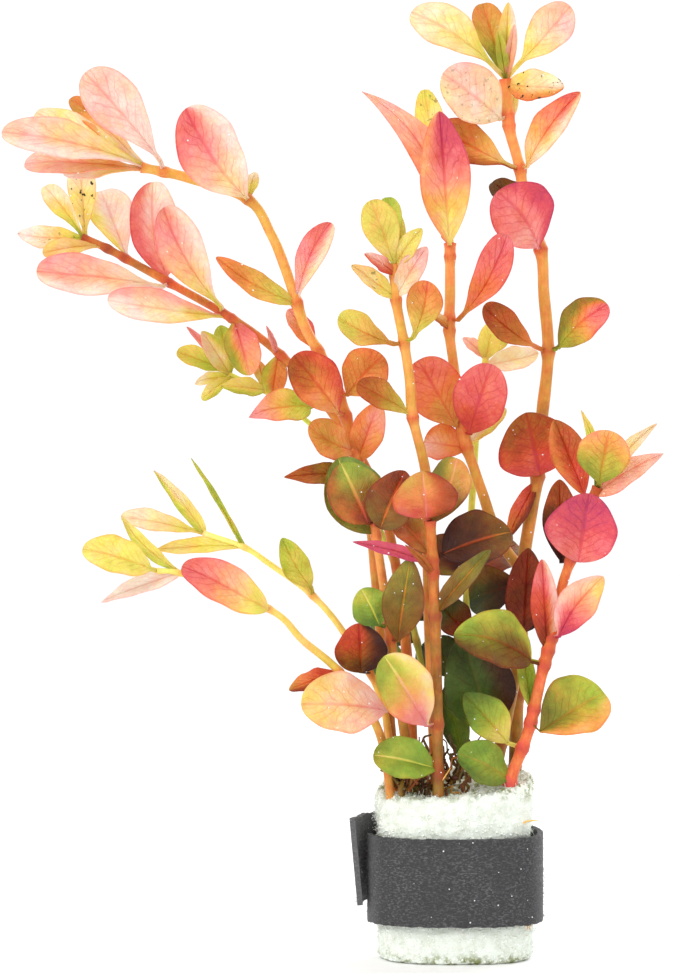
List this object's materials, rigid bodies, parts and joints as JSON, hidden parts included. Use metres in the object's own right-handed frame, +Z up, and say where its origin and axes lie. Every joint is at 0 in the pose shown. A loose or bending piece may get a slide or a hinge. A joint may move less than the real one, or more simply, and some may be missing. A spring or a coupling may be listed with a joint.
{
  "type": "aquarium plant bunch",
  "caption": "Bunch of rotala shoots with pink, amber and green leaves, standing in an oval plug of filter wool with a dark weight strip wound round it.",
  "frame": {"origin": "middle of the flat foot of the wool plug, on which the bunch stands", "axes": "+Z up along the shoots, +X to the right as the picture shows it, +Y away from the viewer"},
  "size_m": [0.1045, 0.0504, 0.1556],
  "materials": {
    "leaf_pink": "satin",
    "leaf_peach": "satin",
    "leaf_cream": "satin",
    "leaf_yellow": "satin",
    "leaf_lime": "satin",
    "leaf_green": "satin",
    "leaf_olive": "satin",
    "leaf_amber": "satin",
    "leaf_red": "satin",
    "leaf_maroon": "satin",
    "leaf_magenta": "satin",
    "stem_red": "satin",
    "stem_yellow": "satin",
    "wool": "matte",
    "weight_strip": "matte"
  },
  "bodies": {
    "root": {"wool_plug": "wool", "weight_strip": "weight_strip", "arching_stem": "stem_red", "pink_stem": "stem_red", "green_stem": "stem_yellow", "slim_stem": "stem_red", "centre_stem": "stem_red", "back_stem": "stem_yellow", "tall_stem": "stem_red", "right_stem": "stem_red", "short_stem": "stem_red", "front_stem": "stem_red", "upper_runner_stem": "stem_yellow", "lower_runner_stem": "stem_yellow", "arching_leaf_crown": "leaf_pink", "arching_leaf_broad": "leaf_pink", "arching_leaf_brown": "leaf_olive", "arching_leaf_amber": "leaf_amber", "pink_leaf_low_left": "leaf_peach", "pink_leaf_broad": "leaf_pink", "pink_leaf_folded": "leaf_cream", "pink_leaf_low": "leaf_lime", "slim_leaf_orange": "leaf_amber", "slim_leaf_amber": "leaf_amber", "centre_leaf_long": "leaf_peach", "centre_leaf_pink": "leaf_pink", "centre_leaf_right": "leaf_pink", "centre_leaf_low_left": "leaf_red", "centre_leaf_low_right": "leaf_pink", "centre_leaf_dark": "leaf_maroon", "centre_leaf_green": "leaf_green", "tall_leaf_top_left": "leaf_cream", "tall_leaf_top_right": "leaf_peach", "tall_leaf_upper_right": "leaf_lime", "tall_leaf_pale": "leaf_pink", "tall_leaf_red": "leaf_red", "tall_leaf_round": "leaf_pink", "tall_leaf_maroon": "leaf_maroon", "tall_leaf_right": "leaf_pink", "tall_leaf_broad": "leaf_maroon", "right_leaf_green": "leaf_lime", "right_leaf_magenta": "leaf_magenta", "right_leaf_brown": "leaf_maroon", "right_leaf_amber": "leaf_amber", "right_leaf_bright": "leaf_magenta", "right_leaf_low": "leaf_green", "right_leaf_light_green": "leaf_lime", "right_leaf_curled": "leaf_yellow", "short_leaf_left": "leaf_olive", "short_leaf_right": "leaf_maroon", "short_leaf_green": "leaf_green", "short_leaf_olive": "leaf_olive", "front_leaf_top": "leaf_red", "front_leaf_dark": "leaf_maroon", "front_leaf_pink_green": "leaf_pink", "runner_leaf_olive": "leaf_olive", "runner_leaf_red_brown": "leaf_red", "runner_leaf_pink": "leaf_pink", "runner_leaf_green": "leaf_lime", "runner_leaf_pink_green": "leaf_pink"}
  },
  "joints": []
}
